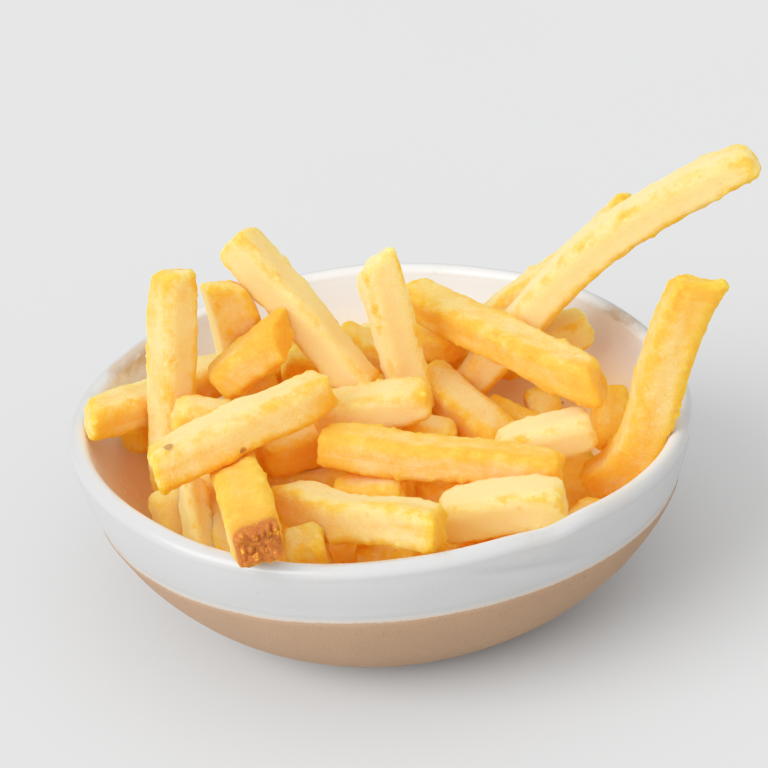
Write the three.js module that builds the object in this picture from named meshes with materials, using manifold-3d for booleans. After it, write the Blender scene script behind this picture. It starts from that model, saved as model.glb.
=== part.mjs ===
// A portion of thick-cut french fries in a handmade stoneware bowl.
// Millimetres, +Z up. The origin is the centre of the bowl's flat foot, and -Y is the front.
// Two nodes: "bowl" is one revolved solid, "fries" is the heap as one solid, out to its uneven outline.
import * as THREE from "three";
import { mergeVertices } from "three/addons/utils/BufferGeometryUtils.js";
import Module from "manifold-3d";

const wasm = await Module();
wasm.setup();

// ---- bowl ----
const FOOT_R = 27; // radius of the flat foot
const BOWL_R = 67.5; // outer radius at the rim
const BOWL_H = 45.6; // height of the rim
const ROUND = 1.12; // exponent of the wall's curve: 1 is a quarter ellipse
const WALL = 4.2; // wall thickness at the rim
const FLOOR_Z = 5.5; // height of the floor inside
const FLOOR_R = 24; // radius of the floor inside
const GAP = 0.35; // clearance between the heap and the bowl
const AROUND = 72; // steps round the bowl

// The uneven height of a hand-thrown rim, at the angle p round the bowl.
const rimWave = (p) =>
  -0.17 * Math.cos(2 * p) +
  0.25 * Math.sin(2 * p) -
  0.56 * Math.cos(3 * p) -
  0.21 * Math.sin(3 * p) -
  0.23 * Math.cos(4 * p) +
  0.61 * Math.sin(4 * p);

// The slight out-of-round of the wall, at the angle p.
const wallWave = (p) =>
  0.2 * Math.cos(2 * p) -
  0.06 * Math.sin(2 * p) -
  0.04 * Math.cos(3 * p) -
  0.48 * Math.sin(3 * p);

// A point of a wall that rises from radius r0 at height z0 to radius r1 at the rim, with u from 0 to 1.
function wallPoint(r0, r1, z0, u) {
  const a = (u * Math.PI) / 2;
  return new THREE.Vector2(
    r0 + (r1 - r0) * Math.sin(a) ** ROUND,
    z0 + (BOWL_H - z0) * (1 - Math.cos(a) ** ROUND),
  );
}

// The bowl's closed profile, from the axis under the foot, up the outside, over the rim and back
// down to the axis. grow thickens it everywhere, for the room that the heap keeps clear.
function bowlProfile(grow = 0) {
  const profile = [new THREE.Vector2(0, -grow)];
  const outside = 16;
  for (let i = 0; i <= outside - 1; i++)
    profile.push(wallPoint(FOOT_R, BOWL_R + grow, -grow, i / outside));
  const lip = WALL / 2 + grow;
  const lipR = BOWL_R - WALL / 2;
  for (let i = 0; i <= 8; i++) {
    const q = (i / 8) * Math.PI;
    profile.push(
      new THREE.Vector2(
        lipR + lip * Math.cos(q),
        BOWL_H - WALL / 2 + lip * Math.sin(q),
      ),
    );
  }
  const inside = 14;
  for (let i = inside - 1; i >= 0; i--)
    profile.push(
      wallPoint(FLOOR_R - grow, BOWL_R - WALL - grow, FLOOR_Z + grow, i / inside),
    );
  profile.push(new THREE.Vector2(0, FLOOR_Z + grow));
  return profile;
}

// Turns a profile round +Z and gives it the unevenness of the bowl.
function turned(profile, steps = AROUND) {
  const geometry = new THREE.LatheGeometry(profile, steps);
  geometry.rotateX(Math.PI / 2);
  geometry.deleteAttribute("normal");
  geometry.deleteAttribute("uv");
  const position = geometry.getAttribute("position");
  for (let i = 0; i < position.count; i++) {
    const x = position.getX(i);
    const y = position.getY(i);
    const z = position.getZ(i);
    const r = Math.hypot(x, y);
    if (r < 1e-6) continue;
    const p = Math.atan2(y, x);
    const swell = 1 + (wallWave(p) * Math.min(1, z / 20)) / BOWL_R;
    position.setXYZ(
      i,
      x * swell,
      y * swell,
      z + rimWave(p) * Math.min(1, Math.max(0, z / BOWL_H)),
    );
  }
  return mergeVertices(geometry, 1e-4);
}

// ---- solids ----
// A closed geometry as a manifold-3d solid, turned the right way out.
function solid(geometry) {
  const merged = mergeVertices(geometry, 1e-4);
  const vertProperties = new Float32Array(merged.getAttribute("position").array);
  const triVerts = new Uint32Array(merged.index.array);
  const make = () =>
    new wasm.Manifold(new wasm.Mesh({ numProp: 3, vertProperties, triVerts }));
  const made = make();
  if (made.volume() > 0) return made;
  for (let i = 0; i < triVerts.length; i += 3)
    [triVerts[i + 1], triVerts[i + 2]] = [triVerts[i + 2], triVerts[i + 1]];
  return make();
}

// A solid back as a geometry for a mesh.
function geometryOf(body) {
  const mesh = body.getMesh();
  const n = mesh.numProp;
  const points = new Float32Array(mesh.numVert * 3);
  for (let i = 0; i < mesh.numVert; i++)
    points.set(mesh.vertProperties.subarray(i * n, i * n + 3), i * 3);
  const geometry = new THREE.BufferGeometry();
  geometry.setAttribute("position", new THREE.BufferAttribute(points, 3));
  geometry.setIndex(new THREE.BufferAttribute(new Uint32Array(mesh.triVerts), 1));
  geometry.computeVertexNormals();
  return geometry;
}

// ---- fries ----
const STEPS = 5; // lengthwise steps of a straight fry
const BENT_STEPS = 9; // of a bent one
const BENT = 4; // how far off the straight line makes a fry a bent one
const K = 0.62; // how far the flat of a side reaches before its rounded edge, as a share of the half width
const SECTION = [
  [1, -K],
  [1, K],
  [K, 1],
  [-K, 1],
  [-1, K],
  [-1, -K],
  [-K, -1],
  [K, -1],
];

// One fry: a square stick with blunted edges, from the centre of one end to the centre of the other.
// width lies level and thick stands across it, roll (degrees) turns both about the length, bow is how
// far the middle is off the straight line, sway bends the first half one way and the second half the
// other, tiltA and tiltB slant the two ends across [width, thick], and thin is the section's share
// left at the two ends.
function fry(
  a,
  b,
  {
    width = 9,
    thick = 9,
    roll = 0,
    bow = [0, 0, 0],
    sway = [0, 0, 0],
    tiltA = [0, 0],
    tiltB = [0, 0],
    thin = [0.86, 0.86],
  } = {},
) {
  const from = new THREE.Vector3(...a);
  const to = new THREE.Vector3(...b);
  const middle = from.clone().add(to).multiplyScalar(0.5);
  middle.addScaledVector(new THREE.Vector3(...bow), 2);
  const line = new THREE.QuadraticBezierCurve3(from, middle, to);
  const swing = new THREE.Vector3(...sway);
  const straight = to.clone().sub(from).normalize();
  const level =
    Math.abs(straight.z) > 0.9
      ? new THREE.Vector3(0, 1, 0)
      : new THREE.Vector3(0, 0, 1);
  const turn = THREE.MathUtils.degToRad(roll);
  const points = [];
  const steps = Math.hypot(...bow) > BENT ? BENT_STEPS : STEPS;
  for (let i = 0; i <= steps; i++) {
    const u = i / steps;
    const centre = line.getPoint(u);
    centre.addScaledVector(swing, 4 * u * (1 - u) * (1 - 2 * u));
    const along = to.clone().sub(from);
    along.addScaledVector(new THREE.Vector3(...bow), 4 * (1 - 2 * u));
    along.addScaledVector(swing, 4 - 24 * u * (1 - u)).normalize();
    const side = along.clone().cross(level).normalize();
    const up = side.clone().cross(along);
    const s = side.clone().multiplyScalar(Math.cos(turn));
    s.addScaledVector(up, Math.sin(turn));
    const n = side.clone().multiplyScalar(-Math.sin(turn));
    n.addScaledVector(up, Math.cos(turn));
    const first = i === 0;
    const last = i === steps;
    const share = first ? thin[0] : last ? thin[1] : 1;
    const tilt = first ? tiltA : last ? tiltB : [0, 0];
    for (const [x, y] of SECTION) {
      const across = (x * width * share) / 2;
      const high = (y * thick * share) / 2;
      const p = centre.clone().addScaledVector(s, across).addScaledVector(n, high);
      p.addScaledVector(along, across * tilt[0] + high * tilt[1]);
      points.push(p.x, p.y, p.z);
    }
  }
  const sides = SECTION.length;
  const index = [];
  for (let i = 0; i < steps; i++)
    for (let j = 0; j < sides; j++) {
      const k = (j + 1) % sides;
      const q = i * sides;
      index.push(q + j, q + k, q + sides + k, q + j, q + sides + k, q + sides + j);
    }
  const end = steps * sides;
  for (let j = 1; j < sides - 1; j++)
    index.push(0, j + 1, j, end, end + j, end + j + 1);
  const geometry = new THREE.BufferGeometry();
  geometry.setAttribute(
    "position",
    new THREE.BufferAttribute(new Float32Array(points), 3),
  );
  geometry.setIndex(index);
  return solid(geometry);
}

// The showing fries, one by one.
const showing = [
  // left
  fry([-41.9, 2, 78.3], [-47.2, -4.4, 27], {
    width: 9.3, thick: 9.1, roll: 38, tiltA: [0.05, 0.2],
  }), // tall post
  fry([-63, -6.6, 48.1], [-33, 27, 40.2], {
    width: 10, thick: 9.5, roll: -5, tiltA: [-0.6, 0],
  }), // resting on the rim
  fry([-32.2, 13.6, 69], [-27.2, 18.8, 32], {
    width: 10.5, roll: 20, tiltA: [0.35, 0.3],
  }), // upright behind the post
  fry([-35.2, 2.6, 49.5], [-19, 5.6, 60.2], {
    width: 10.5, roll: 10, tiltB: [-0.5, 0.4],
  }), // pointed, rising right
  fry([-29, 21, 76], [-3, 8, 43], { width: 10.5, roll: 10, tiltA: [-0.14, -0.12] }), // long diagonal
  fry([-21, 24.3, 41.8], [-12, 25.2, 37.8]),
  fry([-43.6, -11.2, 50.9], [-31, -9.6, 46.6], { width: 8.5, thick: 8.5 }),
  fry([-47, -17, 36], [-45, -23, 24], { width: 8.5, thick: 8, roll: 10 }), // stubs down the left wall
  fry([-41.8, -15, 36.5], [-38.5, -35, 29], { width: 6.2, thick: 6.5, roll: 30 }),
  fry([-38, 0, 32], [-33, -37, 27.5], { width: 8, thick: 8, roll: 10 }),
  // front
  fry([-46.6, -30.6, 49.5], [-11, -9.3, 53.5], {
    width: 10.8, thick: 9.3, roll: 12, tiltA: [-0.6, 0], thin: [0.92, 0.82],
  }), // the one with an eye in it
  fry([-33, -8, 38], [-25, -66, 52], { width: 10.5, thick: 9.5, roll: -12 }), // over the rim, browned end
  fry([-26, -9, 37], [-12, 0, 36], { width: 9.5, thick: 9.5 }),
  fry([-13, -16, 44], [36, -30, 41], { width: 10.5, roll: 8 }), // long, across the front
  fry([11, -36, 36], [36, -41, 41], { width: 11, thick: 10 }),
  fry([-22.5, -23.5, 35], [10, -55, 45], {
    width: 10.5, thick: 9.5, roll: 15, tiltB: [0.5, 0], thin: [0.7, 0.9],
  }), // wavy, along the rim
  fry([-17.7, -44, 38.6], [-14.7, -37, 19], { width: 9.5 }),
  fry([-6.3, -35.5, 28], [5, -39.5, 28]),
  fry([-27, -4, 29], [-8, -7, 27]),
  fry([-10, -20, 33], [4, -25, 35]),
  fry([7, -16, 30], [20, -18, 30]),
  fry([0, -48, 27], [26, -45, 28]),
  // middle
  fry([1.5, 10, 74], [7.6, 8.4, 36], {
    width: 9.3, roll: 15, tiltA: [-0.5, 0.4], thin: [0.9, 0.9],
  }), // standing in the centre
  fry([-14, -4.5, 44], [11, -5, 47], { width: 9.5, thick: 8.5 }),
  fry([11, 18.2, 40], [27.5, -2, 31], { width: 10 }),
  fry([23, 14, 32], [36, 7, 28], { width: 8, thick: 8 }),
  fry([37, 25, 30], [38, 18, 24], { width: 8, thick: 8 }),
  fry([8, 33.7, 41], [19, 25.7, 43], { thick: 8 }),
  fry([-9, 36, 42], [5, 32, 36], { thick: 8 }),
  fry([5, 1, 36], [16, -1, 34], { thick: 8 }),
  // right
  fry([9, 30, 55], [46.6, -12.8, 52], {
    width: 10.5, thick: 9.5, bow: [0, 0, -1], tiltB: [0.6, -0.45],
  }), // big diagonal
  fry([20.5, 23, 32.5], [82, 4.2, 92.6], {
    width: 11.5, thick: 8.8, bow: [-1, 0, 8.6], tiltB: [0, -0.3], thin: [1, 0.72],
  }), // the long one, out over the side
  fry([23, 32, 43], [59, 20, 76.2], { width: 8, thick: 8, bow: [0, 0, -2.5] }), // its neighbour behind
  fry([66.5, -23, 80], [44, -12, 26], {
    width: 10.4, thick: 8.5, bow: [2.4, -2, -3.6], sway: [-4.6, 0, 4], tiltA: [-0.38, 0.4], thin: [0.97, 0.86],
  }), // up the right wall
  fry([34, 25, 40], [48.9, 27.4, 45.2], { width: 9.5, thick: 9.5 }),
  fry([51.5, 12, 36.5], [51.5, 1, 28], { thick: 8 }),
  fry([25, -14, 37.2], [45.2, -13, 41.9], { width: 9.5, thick: 9.5 }),
  fry([30, -42, 25], [46, -24, 27]),
  fry([24, -15, 28.8], [37, -12, 30.6], { width: 8.5, thick: 8.5 }),
  // back
  fry([-33, 33, 32], [-10, 47, 34]),
  fry([-4, 49, 33.5], [36, 42, 32.5], { roll: 20 }),
  fry([24, 31, 17], [38, 10, 17]),
  fry([10, 37.5, 34.5], [34, 34, 34.5], { roll: -15 }),
  fry([-49, 12, 27], [-41, 30, 26]),
  fry([-20, 44, 25], [20, 46, 25]),
  fry([-26, 31, 39], [-9, 42, 38.5], { roll: 30 }),
];

// ---- core ----
// The inside of the heap: it fills the bowl up to a low mound, lower along the left of the front,
// where the wall shows between the fries.
const MOUND_SHARE = 0.66; // how far up the wall's curve the mound reaches
const MOUND_RISE = 8; // how far its middle stands above its edge
const MOUND_RINGS = [48, 38, 26, 13, 0]; // radii of the steps of its top
const MOUND_AROUND = 36; // steps round it
const HOLLOW = { x: -46, y: -18, radius: 20.5, depth: 5 }; // the dip in its front left
function mound() {
  const profile = [new THREE.Vector2(0, FLOOR_Z + 2 * GAP)];
  const wallSteps = 9;
  for (let i = 0; i <= wallSteps; i++)
    profile.push(
      wallPoint(
        FLOOR_R - 3 * GAP,
        BOWL_R - WALL - 3 * GAP,
        FLOOR_Z + 2 * GAP,
        (i / wallSteps) * MOUND_SHARE,
      ),
    );
  const edge = profile[profile.length - 1];
  for (const r of MOUND_RINGS)
    profile.push(new THREE.Vector2(r, edge.y + MOUND_RISE * (1 - (r / edge.x) ** 2)));
  const geometry = turned(profile, MOUND_AROUND);
  const position = geometry.getAttribute("position");
  for (let i = 0; i < position.count; i++) {
    const x = position.getX(i);
    const y = position.getY(i);
    const z = position.getZ(i);
    if (z < edge.y - 1.5) continue;
    const off = Math.hypot(x - HOLLOW.x, y - HOLLOW.y) / HOLLOW.radius;
    position.setZ(i, z - HOLLOW.depth * Math.exp(-(off ** 2)));
  }
  return solid(geometry);
}

// ---- the heap as one solid, clear of the bowl ----
const keepClear = solid(turned(bowlProfile(GAP)));
const heap = wasm.Manifold.union([mound(), ...showing]).subtract(keepClear);
const bodies = heap.decompose().sort((p, q) => q.volume() - p.volume());

const stoneware = new THREE.MeshStandardMaterial({
  color: 0xe6e3de,
  roughness: 0.35,
  metalness: 0,
});
const potato = new THREE.MeshStandardMaterial({
  color: 0xf6cf73,
  roughness: 0.6,
  metalness: 0,
});

const bowl = new THREE.Mesh(geometryOf(solid(turned(bowlProfile()))), stoneware);
bowl.name = "bowl";
const fries = new THREE.Mesh(geometryOf(bodies[0]), potato);
fries.name = "fries";

const portion = new THREE.Group();
portion.name = "french_fries_portion";
portion.add(bowl, fries);

export default portion;
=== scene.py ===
"""A portion of thick-cut french fries in a handmade stoneware bowl.

Sizes are millimetres unless a name says otherwise, and become metres in make_piece().
+Z is up, -Y is the front, and the origin is the centre of the bowl's flat foot.
"""

import itertools
import math
from types import SimpleNamespace

import bpy
import numpy as np
from bpy.props import FloatProperty, FloatVectorProperty, IntProperty, PointerProperty
from mathutils import Matrix, Vector


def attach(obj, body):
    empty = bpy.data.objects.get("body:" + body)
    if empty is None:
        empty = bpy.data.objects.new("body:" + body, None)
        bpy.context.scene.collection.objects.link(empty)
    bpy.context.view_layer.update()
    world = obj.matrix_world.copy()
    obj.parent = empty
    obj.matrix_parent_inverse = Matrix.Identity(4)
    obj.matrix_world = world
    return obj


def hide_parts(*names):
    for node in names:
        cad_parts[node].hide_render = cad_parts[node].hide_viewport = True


bl_info = {
    "name": "French fries portion",
    "version": (1, 0, 0),
    "blender": (4, 5, 0),
    "location": "View3D > Sidebar > Fries",
    "description": "Thick-cut fries heaped in a handmade stoneware bowl",
    "category": "Object",
}

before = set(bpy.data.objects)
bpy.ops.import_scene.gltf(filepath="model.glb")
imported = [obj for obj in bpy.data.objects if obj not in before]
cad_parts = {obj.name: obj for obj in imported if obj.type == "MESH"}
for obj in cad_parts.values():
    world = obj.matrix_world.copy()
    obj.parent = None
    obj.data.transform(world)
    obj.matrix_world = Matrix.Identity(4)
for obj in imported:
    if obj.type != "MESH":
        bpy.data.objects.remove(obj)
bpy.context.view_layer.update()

MM = 0.001


# ---- arrays ----
def smooth(low, high, x):
    """A smooth step: 0 below low, 1 above high, 3t^2 - 2t^3 between."""
    t = np.clip((x - low) / (high - low), 0.0, 1.0)
    return t * t * (3.0 - 2.0 * t)


# Odd numbers that scatter the noise's corners and its seed over 32 bits.
SCATTER = (374761393, 668265263, 2147483629)
SEED_SCATTER = 974634777
SHUFFLES = ((13, 1274126177), (15, 461845907))
BITS = 0xFFFFFFFF
HALF_RANGE = 0x7FFFFFFF


def lattice_noise(points, cell, seed):
    """Value noise from -1 to 1: hashed values at the corners of cubes of side cell, blended with a
    smooth step along X, Y and Z."""
    q = np.asarray(points) / cell
    corner = np.floor(q).astype(np.int64)
    f = smooth(0, 1, q - corner)
    total = np.zeros(q.shape[:-1])
    for step in itertools.product((0, 1), repeat=3):
        h = seed * SEED_SCATTER
        for axis in range(3):
            h = h + (corner[..., axis] + step[axis]) * SCATTER[axis]
        h = h & BITS
        for shift, factor in SHUFFLES:
            h = ((h ^ (h >> shift)) * factor) & BITS
        value = (h ^ (h >> 16)) / HALF_RANGE - 1.0
        total += value * np.prod(np.where(step, f, 1.0 - f), axis=-1)
    return total


def relief(points, *layers):
    """The sum of layers of noise, each (height, cell, seed)."""
    return sum(height * lattice_noise(points, cell, seed) for height, cell, seed in layers)


def harmonics(p, terms):
    """The sum of c cos(k p) + s sin(k p) over the terms (k, c, s)."""
    return sum(c * np.cos(k * p) + s * np.sin(k * p) for k, c, s in terms)


def hump(x, centre, width):
    """A smooth hump of height 1 round a centre: exp(-((x - centre) / width)^2)."""
    return np.exp(-(((x - centre) / width) ** 2))


def grid_normals(points):
    """Unit normals of a grid that closes round its second axis: the step round it crossed with
    the step along it."""
    round_it = np.roll(points, -1, axis=1) - np.roll(points, 1, axis=1)
    along_it = np.gradient(points, axis=0)
    n = np.cross(round_it, along_it)
    size = np.linalg.norm(n, axis=-1, keepdims=True)
    return n / np.maximum(size, 1e-9)


def closed_faces(rows, around):
    """Faces of a closed grid whose first and last vertices are its poles: a fan, quads, a fan."""
    j = np.arange(around)
    k = (j + 1) % around
    first = np.stack([np.zeros_like(j), 1 + k, 1 + j], axis=1)
    i = np.arange(rows - 3)[:, None] * around + 1
    quads = np.stack([i + j, i + k, i + k + around, i + j + around], axis=-1).reshape(-1, 4)
    top = (rows - 3) * around + 1
    last = np.stack([np.full_like(j, top + around), top + j, top + k], axis=1)
    return first, quads, last


def close_poles(values):
    """A grid's values as one list: the first and last rows become their mean."""
    flat = values[1:-1].reshape(-1, *values.shape[2:])
    return np.concatenate([values[:1].mean(axis=1), flat, values[-1:].mean(axis=1)])


def make_piece(name, grids, material, node):
    """A mesh object from closed grids, each (points, {attribute: values}). It rides on the
    portion's one body and stands for a node of the frame."""
    points, loops, totals, data = [], [], [], {}
    base = 0
    for grid, values in grids:
        rows, around = grid.shape[:2]
        points.append(close_poles(grid))
        for faces in closed_faces(rows, around):
            loops.append((faces + base).ravel())
            totals.append(np.full(len(faces), faces.shape[1]))
        for key, value in values.items():
            data.setdefault(key, []).append(close_poles(value))
        base += len(points[-1])
    co = np.concatenate(points) * MM
    loops, totals = np.concatenate(loops), np.concatenate(totals)
    mesh = bpy.data.meshes.new(name)
    mesh.vertices.add(len(co))
    mesh.vertices.foreach_set("co", co.astype(np.float32).ravel())
    mesh.loops.add(len(loops))
    mesh.loops.foreach_set("vertex_index", loops.astype(np.int32))
    mesh.polygons.add(len(totals))
    mesh.polygons.foreach_set("loop_start", (np.cumsum(totals) - totals).astype(np.int32))
    for key, parts in data.items():
        value = np.concatenate(parts).astype(np.float32)
        kind, field = ("FLOAT", "value") if value.ndim == 1 else ("FLOAT_VECTOR", "vector")
        mesh.attributes.new(key, kind, "POINT").data.foreach_set(field, value.ravel())
    mesh.update(calc_edges=True)
    mesh.shade_smooth()
    if mesh.validate():
        raise RuntimeError(f"{name} has faces that don't hold")
    mesh.materials.append(material)
    piece = bpy.data.objects.new(name, mesh)
    bpy.context.scene.collection.objects.link(piece)
    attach(piece, "root")
    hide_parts(node)


# ---- the bowl's shape ----
WALL_ROUND = 1.12  # 1 is an ellipse, more is fuller
INNER_FLOOR_Z, INNER_FLOOR_R = 5.5, 24.0
ROUND_BELOW = 20.0  # the wall grows out of round from its foot up to this height
AROUND_BOWL = 420
FOOT_ROWS, OUTER_ROWS, RIM_ROWS, INNER_ROWS, FLOOR_ROWS = 9, 96, 26, 80, 12

# Waves round the bowl, as (number of waves, cosine share, sine share).
RIM_WAVE = ((2, -0.17, 0.25), (3, -0.56, -0.21), (4, -0.23, 0.61))
WALL_WAVE = ((2, 0.2, -0.06), (3, -0.04, -0.48))
GLAZE_WAVE = ((1, 1.1, -0.54), (2, -0.12, -0.06))
GLAZE_Z = 29.8  # mean height of the lower edge of the glaze
ALL_GLAZED = 12.0  # stands for the distance above the glaze line, inside

# Unevenness, as (height, cell, seed). Outside it is drawn out round the bowl, as thrown clay is.
DRAWN_OUT = (0.25, 0.25, 1.0)
RING_DRAWN_OUT = (0.05, 0.05, 1.0)
LINE_WOBBLE = (0.22, 9.0, 5)
GLAZE_RUNS = ((0.09, 4.2, 11), (0.2, 8.0, 12))
CLAY_RINGS = (0.05, 1.5, 14)
INNER_RIPPLE = (0.12, 5.0, 15)
RIM_DIPS = (0.25, 14.0, 17)
BOUNCE_PAINT_FROM, BOUNCE_PAINT_TO = 41.0, 22.0  # the heights between which the glaze inside grows warmer: painted orange bounce light from the fries
BOUNCE_PAINT_WOBBLE = (2.0, 11.0, 23)
BEAD_HEIGHT, BEAD_Z, BEAD_WIDTH = 0.16, 0.9, 0.7  # the thick lower edge of the glaze

# Places round the rim, as (strength or height, degrees round, width in degrees): where the glaze is
# thin, and a pinch in the near right with a run of thick glaze below it.
THIN_INSIDE = ((1.1, 150, 13), (0.75, -92, 14))
THIN_LIP = (0.9, 27, 8)
PINCH, RUN = (0.85, -61, 5.0), (0.55, -66, 4.5)
RUN_TOP, RUN_Z, RUN_LENGTH, RUN_LEAN = 38, 37.5, 3.5, 0.05


def wall_point(r0, r1, z0, height, u):
    """Radius and height on a wall that rises from radius r0 at height z0 to radius r1 at the
    rim: sine and cosine of a quarter turn, each raised to WALL_ROUND."""
    a = u * math.pi / 2
    r = r0 + (r1 - r0) * np.sin(a) ** WALL_ROUND
    z = z0 + (height - z0) * (1 - np.clip(np.cos(a), 0, 1) ** WALL_ROUND)
    return r, z


def out_of_round(p, z, rim_r):
    """The factor on the radius at the angle p and height z: WALL_WAVE, less towards the foot."""
    return 1 + harmonics(p, WALL_WAVE) * np.clip(z / ROUND_BELOW, 0, 1) / rim_r


def rim_lift(p, z, height):
    """How far the rim's wave lifts a point at the angle p and height z."""
    return harmonics(p, RIM_WAVE) * np.clip(z / height, 0, 1)


def bumps(p, *places):
    """Smooth humps round the bowl. Places are (height, degrees round, width in degrees)."""
    return sum(h * hump((np.degrees(p) - at + 180.0) % 360.0, 180.0, width) for h, at, width in places)


def bowl_profile(sizes):
    """The bowl's profile as radii, heights and shares of being inside: from the middle of the foot
    up the outside, over the half-round rim, and down the inside to the middle of the floor."""
    foot_r, rim_r = sizes.foot_radius / MM, sizes.rim_radius / MM
    height, wall = sizes.height / MM, sizes.wall / MM
    lip = wall / 2
    rises = height, height - INNER_FLOOR_Z
    out_top, in_top = (math.acos((lip / rise) ** (1 / WALL_ROUND)) * 2 / math.pi for rise in rises)
    foot = np.linspace(0, foot_r, FOOT_ROWS)[:-1]
    out_r, out_z = wall_point(foot_r, rim_r, 0.0, height, np.linspace(0, out_top, OUTER_ROWS)[:-1])
    turn = np.linspace(0, math.pi, RIM_ROWS)
    in_u = np.linspace(in_top, 0, INNER_ROWS)[1:]
    in_r, in_z = wall_point(INNER_FLOOR_R, rim_r - wall, INNER_FLOOR_Z, height, in_u)
    floor = np.linspace(INNER_FLOOR_R, 0, FLOOR_ROWS)[1:]
    r = np.concatenate([foot, out_r, rim_r - lip + lip * np.cos(turn), in_r, floor])
    rim_z, floor_z = height - lip + lip * np.sin(turn), 0 * floor + INNER_FLOOR_Z
    z = np.concatenate([0 * foot, out_z, rim_z, in_z, floor_z])
    over = smooth(0.3, 0.8, turn / math.pi)
    inside = np.concatenate([0 * foot, 0 * out_r, over, 0 * in_r + 1, 0 * floor + 1])
    return r[:, None], z[:, None], inside[:, None]


def bowl_grid(sizes):
    """The bowl as one closed grid: its profile turned round +Z. The glaze is a raised skin above
    its line, with runs and ripples along the normal."""
    rim_r, height = sizes.rim_radius / MM, sizes.height / MM
    r, z, inside = bowl_profile(sizes)
    p = np.arange(AROUND_BOWL) / AROUND_BOWL * 2 * math.pi
    swell = out_of_round(p, z, rim_r)
    points = np.stack([r * swell * np.cos(p), r * swell * np.sin(p), z + rim_lift(p, z, height)], axis=-1)
    normals = -grid_normals(points)
    level = points[..., 2]
    side = 1 - inside
    # Distance above the glaze line on the outside. The inside is glazed all over.
    above = level - (GLAZE_Z + harmonics(p, GLAZE_WAVE)) - relief(points, LINE_WOBBLE)
    above = np.where(inside > 0.5, ALL_GLAZED, above)
    glazed = smooth(-0.35, 0.45, above)
    near_rim = smooth(height - 9, height - 1, level)

    drawn_out = points * DRAWN_OUT
    bead = hump(above, BEAD_Z, BEAD_WIDTH) * (above < ALL_GLAZED / 2)
    offset = sizes.glaze_thickness / MM * (glazed - 1) * side + BEAD_HEIGHT * bead * side
    offset += relief(drawn_out, *GLAZE_RUNS) * side * smooth(1.0, 4.0, above)
    offset += relief(points * RING_DRAWN_OUT, CLAY_RINGS) * side * (1 - glazed)
    offset += inside * relief(drawn_out, INNER_RIPPLE)
    run = bumps(p + RUN_LEAN * (level - RUN_TOP), RUN)
    offset += run * side * hump(level, RUN_Z, RUN_LENGTH)
    points = points + normals * offset[..., None]
    points[..., 2] -= near_rim * (RIM_DIPS[0] + relief(points, RIM_DIPS) + bumps(p, PINCH))

    level = points[..., 2]
    thin = 0.35 * near_rim * smooth(0.1, 0.8, lattice_noise(points, 5.0, 21) + 0.15)
    thin += near_rim * smooth(0.0, 0.5, inside) * bumps(p, *THIN_INSIDE)
    thin += smooth(height - 1.8, height - 0.5, level) * bumps(p, THIN_LIP)
    thin *= 0.5 + 0.5 * smooth(-0.6, 0.5, lattice_noise(points * [1, 1, 2.0], 2.4, 22) + 0.35)
    # Painted bounce light: low down inside, the glaze is painted orange as if lit by the fries.
    deep = smooth(BOUNCE_PAINT_FROM, BOUNCE_PAINT_TO, level + relief(points, BOUNCE_PAINT_WOBBLE))
    inside = inside + 0 * above
    return points, {"glaze": above, "thin": np.clip(thin, 0, 1), "inside": inside, "deep": deep * inside}


def keep_in_bowl(points, sizes, gap=0.12):
    """Moves points that lie in the bowl's wall to its inside: towards the axis below the rim,
    and out of the half-round rim along the rim's own radius."""
    rim_r, height, wall = sizes.rim_radius / MM, sizes.height / MM, sizes.wall / MM
    lip_r, lip_z, lip = rim_r - wall / 2, height - wall / 2, wall / 2 + gap
    x, y, z = np.moveaxis(points, -1, 0)
    p = np.arctan2(y, x)
    level = z - rim_lift(p, z, height)
    r = np.hypot(x, y) / out_of_round(p, z, rim_r)
    share = np.clip((level - INNER_FLOOR_Z) / (height - INNER_FLOOR_Z), 0, 0.999)
    a = np.arccos((1 - share) ** (1 / WALL_ROUND))
    wall_r = INNER_FLOOR_R + (rim_r - wall - INNER_FLOOR_R) * np.sin(a) ** WALL_ROUND - gap
    dr, dz = np.where((level < lip_z) & (r > wall_r), wall_r, r) - lip_r, level - lip_z
    far = np.maximum(np.hypot(dr, dz), 1e-6)
    push = np.where((far < lip) & (dz >= 0), lip / far, 1.0)
    ratio = (lip_r + dr * push) / np.maximum(r, 1e-6)
    new_z = np.maximum(z + dz * (push - 1), INNER_FLOOR_Z + gap)
    return np.stack([x * ratio, y * ratio, new_z], axis=-1)


# ---- one fry ----
TO_CORNERS = 0.15  # how far a section's points crowd to its corners

# What a row says beside a fry's ends and sizes.
PLAIN_FRY = {
    "roll": 0.0,  # degrees about its length
    "bow": (0.0, 0.0, 0.0),  # how far its middle is off the straight line
    "sway": (0.0, 0.0, 0.0),  # how far its first half bends, and its second half the other way
    "tilt_a": (0.0, 0.0),  # slant of each end, across its width and its thickness
    "tilt_b": (0.0, 0.0),
    "thin": (0.86, 0.86),  # share of the section left at each end
    "square": (2.7, 4.2),  # range of the section's exponent: 2 is round, 8 is square
    "tone": None,  # 0 pale, 1 golden
    "wavy": 0.35,  # how far its line wanders
    "rough": 1.0,  # how blistered its edges are
    "browned": (0.0, 0.0),  # how far each end is browned
    "nibs": (),  # (share along, degrees round, radius, height) of single bumps
    "spots": (),  # (share along, degrees round, radius) of dark spots
}


def fry(a, b, width=9.0, thick=9.0, **more):
    """One fry's row: the centres of its two ends, its section and what sets it apart."""
    ends = {"a": np.array(a, float), "b": np.array(b, float)}
    return SimpleNamespace(**(PLAIN_FRY | ends | {"width": width, "thick": thick} | more))


def section(around, power):
    """A unit superellipse: |x|^power + |y|^power = 1."""
    q = np.arange(around) / around * 2 * math.pi
    q = q + TO_CORNERS * np.sin(4 * q)
    c, s = np.cos(q), np.sin(q)
    f = (np.abs(c) ** power + np.abs(s) ** power) ** (-1 / power)
    return c * f, s * f, q


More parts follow.
